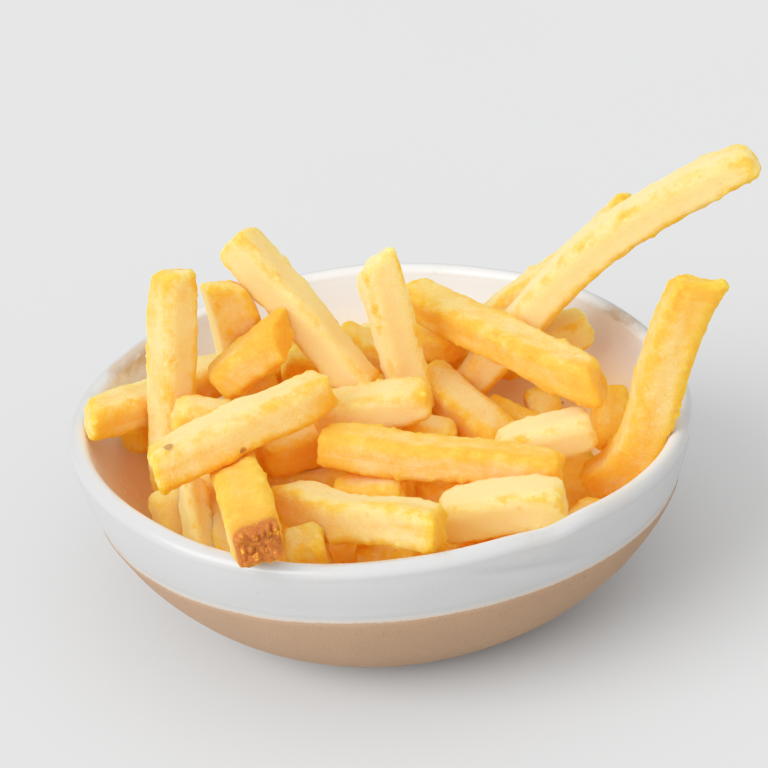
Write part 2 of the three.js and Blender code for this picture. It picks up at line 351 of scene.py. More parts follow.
END_ROUND, END_ROWS = 1.7, 9  # radius of the edge round each cut end, and rows on each
END_SHARE = 0.2  # share of the length in which an end tapers, leans and slants
LEAN, DOMES = 0.12, (-0.15, 0.45)  # most that an end leans, in half sections, and how far it bulges
TWIST, STEEP = 5, 0.9  # most degrees of twist, and the slope above which +Y stands in for up
SKEW, SKEW_CHANGE = 0.07, 0.04  # how far its section is out of square, and how that varies
UNEVEN = 0.035  # how much its width and thickness vary along it
WANDER_WAVES, SWELL_WAVES = (5.5, 7.0), (4.2, 5.0)  # radians of each wave over a standard length
STANDARD_LENGTH, LENGTH_SHARES = 45, (0.4, 1.6)  # and least and most that a length counts
EDGE_WIDTH, END_REACH, TIP_REACH = 1.6, 5.0, 2.0  # how far an end's edge and its colours reach
SCATTERED = 500  # how far off each fry reads the noise

# The cell of each size of noise, and how high it stands all over a fry.
CELLS = {"broad": 7.5, "mid": 3.1, "small": 1.35, "fine": 0.8, "blister": 1.9, "crumb": 1.25}
HEIGHTS = {"broad": 0.24, "mid": 0.10, "small": 0.04, "fine": 0.025}
FACE_HOLLOW, SPOT_PIT = 0.28, 0.25  # how far the middle of each long face and a spot sink in
CRUMB_HEIGHT, CRUMB_BASE = 1.7, 0.25  # of a browned end
FRY_APART = 7.3  # how far apart the material's patterns lie on one fry and the next

OWN_TONE, SIDE_TONE = (0.2, 0.6), 0.13  # the tone where a row has none, and how far a side is off
# Painted shade: the way, down and away from the key light, in which a fry's side is painted most golden,
# how near to it a side turns golden, and how much.
PAINTED_SHADE_WAY, PAINTED_SHADE_FROM, PAINTED_SHADE_TO, PAINTED_SHADE_GOLD = (0.62, 0.1, -0.78), -0.25, 0.75, 0.6


def end_to_end(length, half, along):
    """How far along each row of a fry's grid lies, its size as a share of the section, and the
    radius of the ends' edges. The first and last rows are the middles of the cut ends."""
    round_end = min(END_ROUND, 0.5 * half.min())
    share = round_end / half.min()
    flat = np.linspace(0, 1 - share, END_ROWS)
    turn = np.linspace(0, math.pi / 2, END_ROWS + 1)[1:]
    cap_s = np.concatenate([0 * flat, round_end * (1 - np.cos(turn))])
    cap_rho = np.concatenate([flat, 1 - share * (1 - np.sin(turn))])
    body = np.linspace(round_end, length - round_end, along)[1:-1]
    s = np.concatenate([cap_s, body, length - cap_s[::-1]])
    rho = np.concatenate([cap_rho, np.ones_like(body), cap_rho[::-1]])
    return s[:, None], rho[:, None], round_end


def bent_line(row, u):
    """A fry's line at the shares u of its length, its tangent, and the ways to its side and up: a
    quadratic Bezier line, plus 4 u (1 - u) (1 - 2 u) times its sway."""
    a, b = row.a, row.b
    middle = (a + b) / 2 + 2 * np.array(row.bow)
    line = (1 - u) ** 2 * a + 2 * u * (1 - u) * middle
    line = line + u**2 * b + 4 * u * (1 - u) * (1 - 2 * u) * row.sway
    tangent = ((1 - u) * (middle - a) + u * (b - middle)) * 2 + (4 - 24 * u * (1 - u)) * row.sway
    tangent /= np.linalg.norm(tangent, axis=1, keepdims=True)
    steep = abs((b - a)[2]) / np.linalg.norm(b - a) > STEEP
    side = np.cross(tangent, (0.0, 1.0, 0.0) if steep else (0.0, 0.0, 1.0))
    side /= np.linalg.norm(side, axis=1, keepdims=True)
    return line, tangent, side, np.cross(side, tangent)


def fry_form(row, rng, around, along):
    """A fry's plain form, and where its edges, ends and faces are: a superellipse that wanders,
    twists, swells and leans a little on its way along the fry's line."""
    half = np.array([row.width, row.thick]) / 2
    length = np.linalg.norm(row.b - row.a)
    s, rho, round_end = end_to_end(length, half, along)
    u = s / length
    line, tangent, side, up = bent_line(row, u)
    phase = rng.uniform(0, 2 * math.pi, 8)
    angle = np.radians(row.roll + rng.uniform(-TWIST, TWIST) * (u - 0.5))
    across = side * np.cos(angle) + up * np.sin(angle)
    high = up * np.cos(angle) - side * np.sin(angle)
    swing = np.clip(length / STANDARD_LENGTH, *LENGTH_SHARES)
    wander = row.wavy * np.sin(u * WANDER_WAVES * swing + phase[:2]) * (4 * u * (1 - u))
    line = line + across * wander[:, :1] + high * wander[:, 1:]

    x, y, q = section(around, rng.uniform(*row.square))
    near = [np.clip(1 - way / END_SHARE, 0, 1) for way in (u, 1 - u)]
    share = 1 - sum((1 - left) * by**1.5 for left, by in zip(row.thin, near))
    swells = zip(half, SWELL_WAVES, phase[2:4])
    wide, deep = (by * share * (1 + UNEVEN * np.sin(w * swing * u + start)) for by, w, start in swells)
    skew = SKEW * np.sin(phase[4]) + SKEW_CHANGE * np.sin(3 * u + phase[5])
    px = rho * wide * (x + skew * y)
    py = rho * deep * (y + 0.5 * skew * x)
    tilt = sum(by * slope for by, slope in zip(near, (row.tilt_a, row.tilt_b)))
    slant = px * tilt[:, :1] + py * tilt[:, 1:]
    leans = rng.uniform(-1, 1, (2, 2)) * half * LEAN
    lean = sum(by**1.5 * off for by, off in zip(near, leans))
    dome_a, dome_b = rng.uniform(*DOMES, 2)
    dome = (1 - rho**2) * np.where(u < 0.5, -dome_a, dome_b)
    points = line[:, None] + across[:, None] * (px + lean[:, :1])[..., None]
    points = points + high[:, None] * (py + lean[:, 1:])[..., None]
    points = points + tangent[:, None] * (slant + dome)[..., None]
    normals = grid_normals(points)
    outward = points - line[:, None]
    if np.sum(normals[len(u) // 2] * outward[len(u) // 2]) < 0:
        normals = -normals

    corner = np.minimum(np.abs(x), np.abs(y))
    corner = corner / corner.max()
    from_end = np.minimum(s, length - s)
    end_edge = hump(from_end + half.min() * (1 - rho), 0, EDGE_WIDTH)
    end_edge *= (rho < 0.999) | (from_end < round_end)
    places = {
        "edge": np.maximum(smooth(0.4, 1.0, corner) * smooth(0.75, 1.0, rho), 0.9 * end_edge),
        "cut": smooth(1.0, 0.85, rho),
        "end": hump(from_end, 0, END_REACH),
        "tip": hump(from_end, 0, TIP_REACH),
        "face": (1 - smooth(0.0, 0.75, corner)) * smooth(0.9, 1.0, rho),
    }
    lay = np.stack(np.broadcast_arrays(s, q * half.mean()), axis=-1)
    return points, normals, u, (x, y, q), places, lay


def fry_relief(row, looks, noise, places, brown):
    """How far a fry's surface stands off its plain form: unevenness all over, hollow faces,
    blisters along parts of its edges, and crumbs on a browned end."""
    rough = row.rough * looks.blister / MM * (0.3 + 0.9 * smooth(-0.2, 0.5, noise["mid"]))
    blisters = 0.9 * np.abs(noise["blister"]) * (0.6 + 0.4 * noise["small"])
    offset = sum(height * noise[size] for size, height in HEIGHTS.items())
    offset += places["edge"] * rough * (blisters + 0.55 * noise["small"] + 0.25 * noise["fine"])
    offset += places["cut"] * rough * (0.6 * noise["mid"] + 0.5 * noise["small"])
    offset -= FACE_HOLLOW * places["face"] * (1 - 0.6 * places["end"])
    offset += brown * places["cut"] * CRUMB_HEIGHT * (np.abs(noise["crumb"]) - CRUMB_BASE)
    return offset


def fry_grid(row, seed, around, along, looks):
    """One fry as a closed grid, with what its material reads: its form, moved along its normal by
    its relief, single bumps and pits."""
    rng = np.random.default_rng(seed)
    points, normals, u, (x, y, q), places, lay = fry_form(row, rng, around, along)
    at = points + rng.uniform(-SCATTERED, SCATTERED, 3)
    noise = {size: lattice_noise(at, CELLS[size], seed + i) for i, size in enumerate(CELLS, 1)}
    browned = np.where(u < 0.5, *row.browned)
    brown = browned * np.clip(1.25 * places["cut"] + places["tip"], 0, 1) + 0.45 * browned * places["end"]
    brown = np.clip(brown, 0, 1)
    offset = fry_relief(row, looks, noise, places, brown)

    def off_centre(share, degrees, radius):
        """Squares of the distances from a place on the fry, in radii."""
        turned = np.abs((np.degrees(q) - degrees + 180) % 360 - 180)
        centre = points[np.argmin(np.abs(u - share)), np.argmin(turned)]
        return np.sum((points - centre) ** 2, axis=-1) / radius**2

    for share, degrees, radius, height in row.nibs:
        offset += height * np.exp(-off_centre(share, degrees, radius))
    spot = 0 * offset
    for share, degrees, radius in row.spots:
        off = off_centre(share, degrees, radius)
        spot += np.exp(-off * (1 + 0.9 * noise["small"]))
        offset -= SPOT_PIT * np.exp(-off)

    # Each side has a tone of its own, which fades into the next over the edge. The side turned down and
    # away from the key light is painted most golden as painted shade, and the edges of a pale fry are as
    # golden as the others.
    painted_shade = smooth(PAINTED_SHADE_FROM, PAINTED_SHADE_TO, normals @ PAINTED_SHADE_WAY)
    tone = rng.uniform(*OWN_TONE) if row.tone is None else row.tone
    own = rng.uniform(-SIDE_TONE, SIDE_TONE, 4)
    sides = own[0] * x + own[1] * y + own[2] * (x**2 - y**2)
    contrast = 1 - 2 * min(tone, 0)
    whole = 0 * offset
    data = {
        "edge": places["edge"] * (0.75 + 0.25 * noise["mid"]) * contrast,
        "end": np.clip(places["end"] + 0.35 * places["cut"], 0, 1) + whole,
        # The tone holds each fry's own tone and its sides', plus the painted shade on the side away from
        # the key light.
        "tone": tone + sides + PAINTED_SHADE_GOLD * painted_shade,
        "browned": brown + whole,
        "spot": np.clip(spot, 0, 1),
        "lay": np.concatenate([lay, (whole + seed * FRY_APART)[..., None]], axis=-1),
    }
    return points + normals * offset[..., None], data


# ---- the fries ----
LEFT = (
    # The tall post.
    fry((-41.9, 2, 78.3), (-47.2, -4.4, 27), 9.3, 9.1, roll=38, tilt_a=(0.05, 0.2), tone=0.3),
    # Resting on the rim.
    fry((-63, -6.6, 48.1), (-33, 27, 40.2), 10, 9.5, roll=-5, tilt_a=(-0.6, 0), tone=0.15),
    # Upright behind the post. Its paler tone is partly painted light, lifting it in the post's shade.
    fry((-32.2, 13.6, 69), (-27.2, 18.8, 32), 10.5, 9, roll=20, tilt_a=(0.35, 0.3), tone=0.25),
    # Pointed, rising to the right.
    fry((-35.2, 2.6, 49.5), (-19, 5.6, 60.2), 10.5, 9, roll=10, tilt_b=(-0.5, 0.4), tone=0.8),
    # The long diagonal.
    fry((-29, 21, 76), (-3, 8, 43), 10.5, 9, roll=10, tilt_a=(-0.14, -0.12), tone=-0.1),
    fry((-21, 24.3, 41.8), (-12, 25.2, 37.8)),
    fry((-43.6, -11.2, 50.9), (-31, -9.6, 46.6), 8.5, 8.5, tone=0.3),
    # Stubs down the left wall.
    # Paler tone partly painted light, lifting a stub that lies in shade.
    fry((-47, -17, 36), (-45, -23, 24), 8.5, 8, roll=10, tone=-0.1),
    fry((-38, 0, 32), (-33, -37, 27.5), 8, 8, roll=10, tone=0.2),
    # Paler tone partly painted light, lifting a stub that lies in shade.
    fry((-17.7, -44, 38.6), (-14.7, -37, 19), 9.5, 9, tone=0.1),
)
FRONT = (
    # The one with an eye in it.
    fry(
        (-46.6, -30.6, 49.5), (-11, -9.3, 53.5), 10.8, 9.3, roll=12, thin=(0.92, 0.82), tilt_a=(-0.6, 0),
        tone=0.3, nibs=((0.02, 300, 1.0, 1.0),), spots=((0.1, 60, 1.5), (0.42, 330, 0.7)),
    ),
    # Over the rim, with a browned end.
    fry((-33, -8, 38), (-25, -66, 52), 10.5, 9.5, roll=-12, tone=0.85, browned=(0, 1)),
    fry((-26, -9, 37), (-12, 0, 36), 9.5, 9.5, tone=0.3),
    # Long, across the front.
    fry((-13, -16, 44), (36, -30, 41), 10.5, 9, roll=8, tone=0.65),
    fry((11, -36, 36), (36, -41, 41), 11, 10, tone=-0.6),
    # Wavy, along the rim.
    fry(
        (-22.5, -23.5, 35), (10, -55, 45), 10.5, 9.5, roll=15, thin=(0.7, 0.9), tilt_b=(0.5, 0), wavy=0.9,
        tone=0.3,
    ),
    fry((-6.3, -35.5, 28), (5, -39.5, 28)),
    fry((-27, -4, 29), (-8, -7, 27)),
    fry((-10, -20, 33), (4, -25, 35)),
    fry((7, -16, 30), (20, -18, 30)),
    fry((0, -48, 27), (26, -45, 28)),
    # Its pale tone is partly painted light, lifting a stub that lies in shade.
    fry((-41.8, -15, 36.5), (-38.5, -35, 29), 6.2, 6.5, roll=30, tone=-0.9, nibs=((0.75, 20, 0.9, 0.9),)),
)
MIDDLE = (
    # Standing in the centre. Its pale tone is partly painted light, lifting its front face, which lies in
    # shade.
    fry((1.5, 10, 74), (7.6, 8.4, 36), 9.3, 9, roll=15, thin=(0.9, 0.9), tilt_a=(-0.5, 0.4), tone=-0.55),
    fry((-14, -4.5, 44), (11, -5, 47), 9.5, 8.5, tone=0.2, rough=1.6),
    fry((11, 18.2, 40), (27.5, -2, 31), 10, 9, tone=0.4),
    fry((23, 14, 32), (36, 7, 28), 8, 8, tone=0.9),
    fry((37, 25, 30), (38, 18, 24), 8, 8),
    fry((8, 33.7, 41), (19, 25.7, 43), 9, 8, tone=0.7),
    fry((-9, 36, 42), (5, 32, 36), 9, 8, tone=0.6),
    fry((5, 1, 36), (16, -1, 34), 9, 8),
)
RIGHT = (
    # The big diagonal.
    fry((9, 30, 55), (46.6, -12.8, 52), 10.5, 9.5, bow=(0, 0, -1), tilt_b=(0.6, -0.45), tone=0.72),
    # The long one, out over the side, and its neighbour behind.
    fry(
        (20.5, 23, 32.5), (82, 4.2, 92.6), 11.5, 8.8, bow=(-1, 0, 8.6), thin=(1, 0.72), tilt_b=(0, -0.3),
        tone=0.1, nibs=((0.72, 275, 0.9, 0.9), (0.95, 280, 0.9, 1.0)),
    ),
    fry((23, 32, 43), (58.6, 20.4, 77), 8, 8, bow=(0, 0, -1.6), tone=0.3),
    # Up the right wall. Its golden tone is partly painted shade, darkening its foot, which lies below the
    # rim in shade.
    fry(
        (66.5, -23, 80), (44, -12, 26), 10.4, 8.5, bow=(2.4, -2, -3.6), sway=(-4.6, 0, 4),
        thin=(0.97, 0.86), tilt_a=(-0.38, 0.4), tone=0.7, rough=1.3,
    ),
    # Its pale tone is partly painted light, lifting a fry that lies in the long one's shade.
    fry((34, 25, 40), (48.9, 27.4, 45.2), 9.5, 9.5, tone=-0.5),
    fry((51.5, 12, 36.5), (51.5, 1, 28), 9, 8, tone=0.7),
    fry((25, -14, 37.2), (45.2, -13, 41.9), 9.5, 9.5, tone=-0.55),
    fry((30, -42, 25), (46, -24, 27)),
    fry((24, -15, 28.8), (37, -12, 30.6), 8.5, 8.5),
)
BACK = (
    fry((-33, 33, 32), (-10, 47, 34)),
    fry((-4, 49, 33.5), (36, 42, 32.5), roll=20),
    fry((24, 31, 17), (38, 10, 17)),
    fry((10, 37.5, 34.5), (34, 34, 34.5), roll=-15),
    fry((-49, 12, 27), (-41, 30, 26)),
    fry((-20, 44, 25), (20, 46, 25)),
    fry((-26, 31, 39), (-9, 42, 38.5), roll=30),
)
GROUPS = {"left": LEFT, "front": FRONT, "middle": MIDDLE, "right": RIGHT, "back": BACK}
SEEDS_APART = 100  # from one group to the next
UNDER_FIRST, UNDER_DEEPER = 700, 0.1  # the hidden fries' first seed, and how much more golden they are

# Points on a fry's line, most tries to lay hidden fries, and a push that still counts as none.
LINE_POINTS, UNDER_TRIES, UNMOVED = 12, 9000, 0.01
UNDER_RADIUS, UNDER_TOP = 54, 41  # the hidden fries lie within this radius and below this height
# Ranges of their centres' heights, slopes, lengths, widths and rolls, and how many widths they keep
# from the wall and from each other.
UNDER_CENTRE, UNDER_SLOPE = (14, 40), (-0.2, 0.2)
UNDER_LENGTH, UNDER_WIDTH, UNDER_ROLL = (16, 52), (8.2, 9.6), (0, 40)
FROM_WALL, FROM_FRIES = 0.62, 0.93

# The core: rows on its floor, side and top, points round it, the share of the wall's curve that it
# follows, how far inside and above, and the height of its dome.
CORE_ROWS, AROUND_CORE = (8, 16, 40), 120
CORE_UP, CORE_INSET, CORE_LIFT, CORE_DOME = 0.5, 1.0, 0.7, 11.0
CORE_LUMPS = ((1.6, 7.0, 61), (0.5, 2.5, 62))

# The grids of the fries: points round one, millimetres between its rows, and fewest and most rows.
SHOWING = (64, 0.62, 24, 110)
HIDDEN = (32, 1.2, 10, 40)


def line_points(row):
    """Points along a fry's straight line."""
    t = np.linspace(0, 1, LINE_POINTS)[:, None]
    return row.a * (1 - t) + row.b * t


def under_rows(looks, bowl):
    """Loose fries under the showing ones: random, nearly level sticks, each kept if it lies inside
    the bowl and clear of all the fries before it."""
    rng = np.random.default_rng(looks.under_seed)
    taken = np.concatenate([line_points(row) for rows in GROUPS.values() for row in rows])
    rows = []
    for _ in range(UNDER_TRIES):
        if len(rows) >= looks.under_count:
            break
        radius, bearing = UNDER_RADIUS * math.sqrt(rng.uniform()), rng.uniform(0, 2 * math.pi)
        heading, slope = rng.uniform(0, math.pi), rng.uniform(*UNDER_SLOPE)
        length, width = rng.uniform(*UNDER_LENGTH), rng.uniform(*UNDER_WIDTH)
        level = radius * math.cos(bearing), radius * math.sin(bearing)
        centre = np.array([*level, rng.uniform(*UNDER_CENTRE)])
        reach = np.array([math.cos(heading), math.sin(heading), slope]) * length / 2
        row = fry(centre - reach, centre + reach, width, width, roll=rng.uniform(*UNDER_ROLL))
        points = line_points(row)
        pushed = keep_in_bowl(points, bowl, gap=FROM_WALL * width) - points
        if np.abs(pushed).max() > UNMOVED or points[:, 2].max() > UNDER_TOP:
            continue
        gaps = np.linalg.norm(points[:, None] - taken[None], axis=-1)
        if gaps.min() < FROM_FRIES * width:
            continue
        rows.append(row)
        taken = np.concatenate([taken, points])
    return rows


def core_grid(bowl):
    """The inside of the heap, out of sight: a low lumpy mound that follows the bowl's wall below."""
    floor_r, top_r = INNER_FLOOR_R - CORE_INSET, (bowl.rim_radius - bowl.wall) / MM - CORE_INSET
    up = np.linspace(0, CORE_UP, CORE_ROWS[1])
    side_r, side_z = wall_point(floor_r, top_r, INNER_FLOOR_Z + CORE_LIFT, bowl.height / MM, up)
    floor = np.linspace(0, floor_r, CORE_ROWS[0])[:-1]
    top = np.linspace(side_r[-1], 0, CORE_ROWS[2])[1:]
    top_z = side_z[-1] + CORE_DOME * (1 - (top / side_r[-1]) ** 2)
    r = np.concatenate([floor, side_r, top])[:, None]
    z = np.concatenate([0 * floor + side_z[0], side_z, top_z])[:, None]
    p = np.arange(AROUND_CORE) / AROUND_CORE * 2 * math.pi
    points = np.stack([r * np.cos(p), r * np.sin(p), z + 0 * p], axis=-1)
    upper = smooth(side_z[-1] - 1, side_z[-1] + 2, points[..., 2])
    points[..., 2] += upper * relief(points, *CORE_LUMPS)
    look = {"edge": 0.4, "end": 0.3, "tone": 0.7, "browned": 0.0, "spot": 0.0}
    data = {key: np.full(points.shape[:2], value) for key, value in look.items()}
    return points, data | {"lay": points}


def fry_grids(rows, first_seed, detail, looks, bowl):
    """The grids of a list of fries, kept in the bowl."""
    around, step, fewest, most = detail
    for number, row in enumerate(rows):
        along = int(np.clip(np.linalg.norm(row.b - row.a) / step, fewest, most))
        points, data = fry_grid(row, first_seed + number, around, along, looks)
        yield keep_in_bowl(points, bowl), data


# ---- materials ----
class Wiring:
    """Adds nodes to a tree. Sockets go by name or number, and take values or links."""

    def __init__(self, tree):
        self.tree = tree

    def feed(self, inputs, sockets):
        for key, value in sockets.items():
            if isinstance(value, bpy.types.NodeSocket):
                self.tree.links.new(value, inputs[key])
            else:
                inputs[key].default_value = value

    def add(self, kind, sockets=None, **settings):
        node = self.tree.nodes.new("ShaderNode" + kind)
        for key, value in settings.items():
            setattr(node, key, value)
        self.feed(node.inputs, sockets or {})
        return node

    def math(self, operation, *values):
        return self.add("Math", dict(enumerate(values)), operation=operation).outputs[0]

    def add_up(self, start, terms):
        """start, plus value times weight for each term (value, weight)."""
        for value, weight in terms:
            start = self.math("MULTIPLY_ADD", value, weight, start)
        return start

    def either_side(self, value, weight):
        """A value from 0 to 1 as a term for add_up that adds nothing at 0.5."""
        return self.math("SUBTRACT", value, 0.5), weight

    def ramp(self, value, low, high, to_low=0.0, to_high=1.0):
        """A smooth step of a value from low to high."""
        sockets = {"Value": value, "From Min": low, "From Max": high, "To Min": to_low, "To Max": to_high}
        return self.add("MapRange", sockets, interpolation_type="SMOOTHSTEP").outputs["Result"]

    def mix(self, share, a, b):
        """A blend of two colours, each a link or three numbers. Sockets 6, 7 and 2 are for colour."""
        a, b = (c if isinstance(c, bpy.types.NodeSocket) else opaque(c) for c in (a, b))
        return self.add("Mix", {0: share, 6: a, 7: b}, data_type="RGBA").outputs[2]

    def stain(self, base, mask, share, over):
        """A colour with another over it, by a share of a mask."""
        return self.mix(self.math("MULTIPLY", mask, share), base, over)

    def noise(self, vector, scale, detail=2.0, rough=0.5):
        sockets = {"Vector": vector, "Scale": scale, "Detail": detail, "Roughness": rough}
        return self.add("TexNoise", sockets).outputs["Fac"]

    def attribute(self, name, output="Fac"):
        return self.add("Attribute", attribute_name=name).outputs[output]

    def scaled(self, vector, scale):
        return self.add("VectorMath", {0: vector, 1: scale}, operation="MULTIPLY").outputs[0]

    def mottle(self, vector, patches, grain=900.0):
        sockets = {"Vector": vector, "Patch Scale": patches, "Grain Scale": grain}
        return self.add("Group", sockets, node_tree=shared("mottle", mottle_group)).outputs

    def specks(self, vector, scale, radius, rarity):
        sockets = {"Vector": vector, "Scale": scale, "Radius": radius, "Rarity": rarity}
        return self.add("Group", sockets, node_tree=shared("specks", speck_group)).outputs["Mask"]


def opaque(rgb):
    return (*rgb, 1.0)


def shade(rgb, share):
    return [share * value for value in rgb]


def group(name, inputs, outputs):
    """A shader node group with its ends. It takes a vector and numbers, and gives numbers."""
    tree = bpy.data.node_groups.new(name, "ShaderNodeTree")
    tree.interface.new_socket("Vector", in_out="INPUT", socket_type="NodeSocketVector")
    for way, labels in (("INPUT", inputs), ("OUTPUT", outputs)):
        for label in labels:
            tree.interface.new_socket(label, in_out=way, socket_type="NodeSocketFloat")
    ins, out = tree.nodes.new("NodeGroupInput"), tree.nodes.new("NodeGroupOutput")
    return tree, Wiring(tree), ins.outputs, out.inputs


def mottle_group():
    """Uneven tone of two sizes, and fine grain: values from 0 to 1 over the surface."""
    tree, w, ins, out = group("mottle", ["Patch Scale", "Grain Scale"], ["Patches", "Grain"])
    patches = w.noise(ins["Vector"], ins["Patch Scale"], 3.0, 0.6)
    grain = w.noise(ins["Vector"], ins["Grain Scale"], 3.0, 0.6)
    w.feed(out, {"Patches": w.ramp(patches, 0.3, 0.7), "Grain": w.ramp(grain, 0.25, 0.75)})
    return tree


def speck_group():
    """Small round specks: near the centres of random cells, where the cell's own value is high."""
    tree, w, ins, out = group("specks", ["Scale", "Radius", "Rarity"], ["Mask"])
    cells = w.add("TexVoronoi", {"Vector": ins["Vector"], "Scale": ins["Scale"]})
    chosen = w.add("SeparateColor", {"Color": cells.outputs["Color"]}).outputs["Red"]
    near = w.math("LESS_THAN", cells.outputs["Distance"], ins["Radius"])
    rare = w.math("GREATER_THAN", chosen, ins["Rarity"])
    w.feed(out, {"Mask": w.math("MULTIPLY", near, rare)})
    return tree


def shared(name, build):
    """A node group, built on its first use."""
    groups = bpy.data.node_groups
    return groups[name] if name in groups else build()


def principled(name):
    """A new material, its wiring, its Principled BSDF's inputs, and Object coordinates."""
    material = bpy.data.materials.new(name)
    material.use_nodes = True
    w = Wiring(material.node_tree)
    shader = material.node_tree.nodes["Principled BSDF"]
    return material, w, shader.inputs, w.add("TexCoord").outputs["Object"]


ALONG = (0.22 * MM, MM, MM)  # the streaks are drawn out along the fry
GOLD_START = -0.05
EDGE_GOLD, END_GOLD, TONE_GOLD = 0.65, 0.4, 0.9  # how much of each turns a pale fry golden
AMBER_FROM, AMBER_TO, AMBER_SHARE = 0.8, 1.6, 0.7


def fried_potato_material(looks, name="fried_potato", deeper=0.0):
    """Pale faces, golden edges and ends, mottled and streaked along the fry, and browned ends."""
    material, w, shader, where = principled(name)
    edge, end, tone, browned, spot = map(w.attribute, ("edge", "end", "tone", "browned", "spot"))
    lay = w.attribute("lay", "Vector")
    even = w.mottle(where, 320.0, 1300.0)
    streak = w.mottle(w.scaled(lay, ALONG), 260.0)
    broad = w.noise(w.scaled(lay, (MM, MM, MM)), 75.0)
    broken = w.math("MULTIPLY", edge, w.ramp(even["Patches"], 0.0, 1.0, 0.5, 1.0))
    uneven = (even["Patches"], 0.35), (streak["Patches"], 0.35), (broad, 0.6), (even["Grain"], 0.25)
    # The tone attribute carries painted shade on the side away from the key light, besides each fry's own
    # tone.
    terms = [(broken, EDGE_GOLD), (end, END_GOLD), (tone, TONE_GOLD)]
    gold = w.add_up(deeper + GOLD_START, terms + [w.either_side(*term) for term in uneven])
    base = w.mix(w.ramp(gold, 0.0, 1.0), looks.pale, looks.golden)
    base = w.stain(base, w.ramp(gold, AMBER_FROM, AMBER_TO), AMBER_SHARE, looks.amber)
    base = w.stain(base, w.specks(where, 260.0, 0.16, 0.93), 0.35, looks.amber)
    crumb = w.noise(where, 700.0, 3.0, 0.65)
    base = w.stain(base, browned, w.ramp(crumb, 0.2, 0.5, 0.75, 1.0), looks.browned)
    light_crumb = w.math("MULTIPLY", w.ramp(crumb, 0.56, 0.66), w.ramp(browned, 0.75, 1.0))
    base = w.stain(base, light_crumb, 0.75, looks.amber)
    base = w.mix(w.ramp(spot, 0.25, 0.7, 0.0, 0.85), base, looks.spot)
    height = w.add_up(w.noise(where, 2600.0), [(even["Grain"], 0.6)])
    bump = w.add("Bump", {"Height": height, "Strength": 0.8, "Distance": 0.0003})
    rough = w.ramp(even["Grain"], 0.0, 1.0, 0.52, 0.7)
    w.feed(shader, {"Base Color": base, "Roughness": rough, "Normal": bump.outputs["Normal"]})
    w.feed(shader, {"Subsurface Weight": 1.0, "Subsurface Radius": (0.75, 0.8, 0.15)})
    w.feed(shader, {"Subsurface Scale": 0.007, "Specular IOR Level": 0.15})
    return material


CLAY_SHADES = (0.92, 0.78, 0.5)  # how light its patches, grain and sand are
GLAZE_SHADE = 0.965
CLAY_ROUGHNESS = 0.86


def stoneware_material(looks):
    """Satin white glaze over bare sandy clay. The clay warms the glaze where it is thin. Inside, the
    glaze is painted lighter than outside, standing in for light, and orange low down as painted bounce
    light from the fries.
    """
    material, w, shader, where = principled("stoneware")
    glaze, thin = w.attribute("glaze"), w.attribute("thin")
    body, skin = w.mottle(where, 60.0, 2600.0), w.mottle(where, 45.0, 1500.0)
    sand, holes = w.specks(where, 900.0, 0.28, 0.8), w.specks(where, 160.0, 0.065, 0.72)
    patch_clay, grain_clay, sand_clay = (shade(looks.clay, share) for share in CLAY_SHADES)
    clay = w.mix(body["Patches"], looks.clay, patch_clay)
    clay = w.stain(w.stain(clay, body["Grain"], 0.35, grain_clay), sand, 0.35, sand_clay)
    white = w.mix(skin["Patches"], looks.glaze, shade(looks.glaze, GLAZE_SHADE))
    # Painted light inside: the glaze near the rim is painted lighter than the same glaze outside, and low
    # down it is painted orange with bounce light from the fries.
    painted_inner_glaze = w.mix(w.attribute("deep"), looks.inner_glaze_painted_light, looks.deep_glaze_painted_bounce)
    white = w.mix(w.attribute("inside"), white, painted_inner_glaze)
    white = w.stain(white, holes, 0.75, looks.pinhole)
    edge_line = w.add_up(glaze, [w.either_side(skin["Grain"], 0.18)])
    covered = w.ramp(edge_line, -0.12, 0.22)
    near_line = w.ramp(edge_line, 0.1, 1.1, 0.55, 0.0)
    worn = w.ramp(w.add_up(thin, [w.either_side(skin["Grain"], 0.25)]), 0.15, 0.9)
    warm = w.math("MAXIMUM", near_line, w.math("MULTIPLY", worn, 0.85))
    white = w.mix(warm, white, looks.thin_glaze)
    gloss = w.ramp(skin["Patches"], 0.0, 1.0, 0.22, 0.28)
    rough = w.add("Mix", {0: covered, 2: CLAY_ROUGHNESS, 3: gloss}, data_type="FLOAT").outputs[0]
    grit = w.math("MULTIPLY", w.math("SUBTRACT", 1.0, covered), body["Grain"])
    ripple = w.math("SUBTRACT", w.noise(where, 60.0, 0.0), holes)
    height = w.add_up(grit, [(covered, ripple)])
    bump = w.add("Bump", {"Height": height, "Strength": 0.35, "Distance": 0.0003})
    w.feed(shader, {"Base Color": w.mix(covered, clay, white), "Roughness": rough})
    w.feed(shader, {"Normal": bump.outputs["Normal"], "Specular IOR Level": 0.5})
    return material


def floor_material(looks):
    """Plain pale paper with the faintest unevenness."""
    material, w, shader, where = principled("pale_floor")
    base = w.mix(w.mottle(where, 4.0)["Patches"], looks.floor, shade(looks.floor, 0.985))
    w.feed(shader, {"Base Color": base, "Roughness": 0.75, "Specular IOR Level": 0.2})
    return material


# ---- light and camera ----
KEY_FROM, TOP_FROM = (-0.78, -0.52, 0.62), (-0.05, -0.52, 0.85)  # the ways to the lights
CAMERA_TARGET = (0.0013, 0.0, 0.0484)
LENS, CLIP_START = 102.1, 0.01
DIFFUSE_BOUNCES, MAX_BOUNCES = 10, 16
FULL = 2.0  # light level that shows as white
CURVE_POINTS = 13


